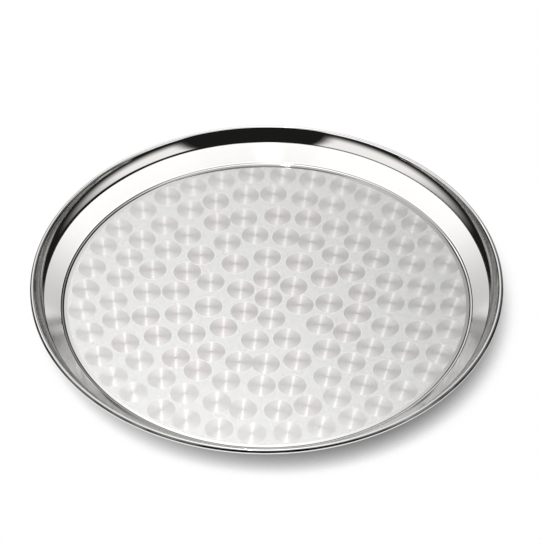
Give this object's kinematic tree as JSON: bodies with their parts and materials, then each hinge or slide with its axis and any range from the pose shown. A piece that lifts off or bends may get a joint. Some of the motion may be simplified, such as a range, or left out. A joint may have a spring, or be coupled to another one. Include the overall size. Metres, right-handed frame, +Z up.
{
  "type": "thali plate",
  "caption": "Round shallow steel thali plate with an engine-turned floor, a small step round it, a sloping band, a polished wall that curves up and a wired rolled rim, for serving or carrying food.",
  "frame": {"origin": "middle of the floor's underside, on the surface that the plate stands on", "axes": "+Z up along the plate's axis of revolution, X and Y across it"},
  "size_m": [0.3499, 0.35, 0.0222],
  "materials": {
    "steel_sheet": "mirror-polished wall and rim, engine-turned floor",
    "steel_wire": "drawn wire"
  },
  "bodies": {
    "root": {"pan": "steel_sheet", "rim_wire": "steel_wire"}
  },
  "joints": []
}
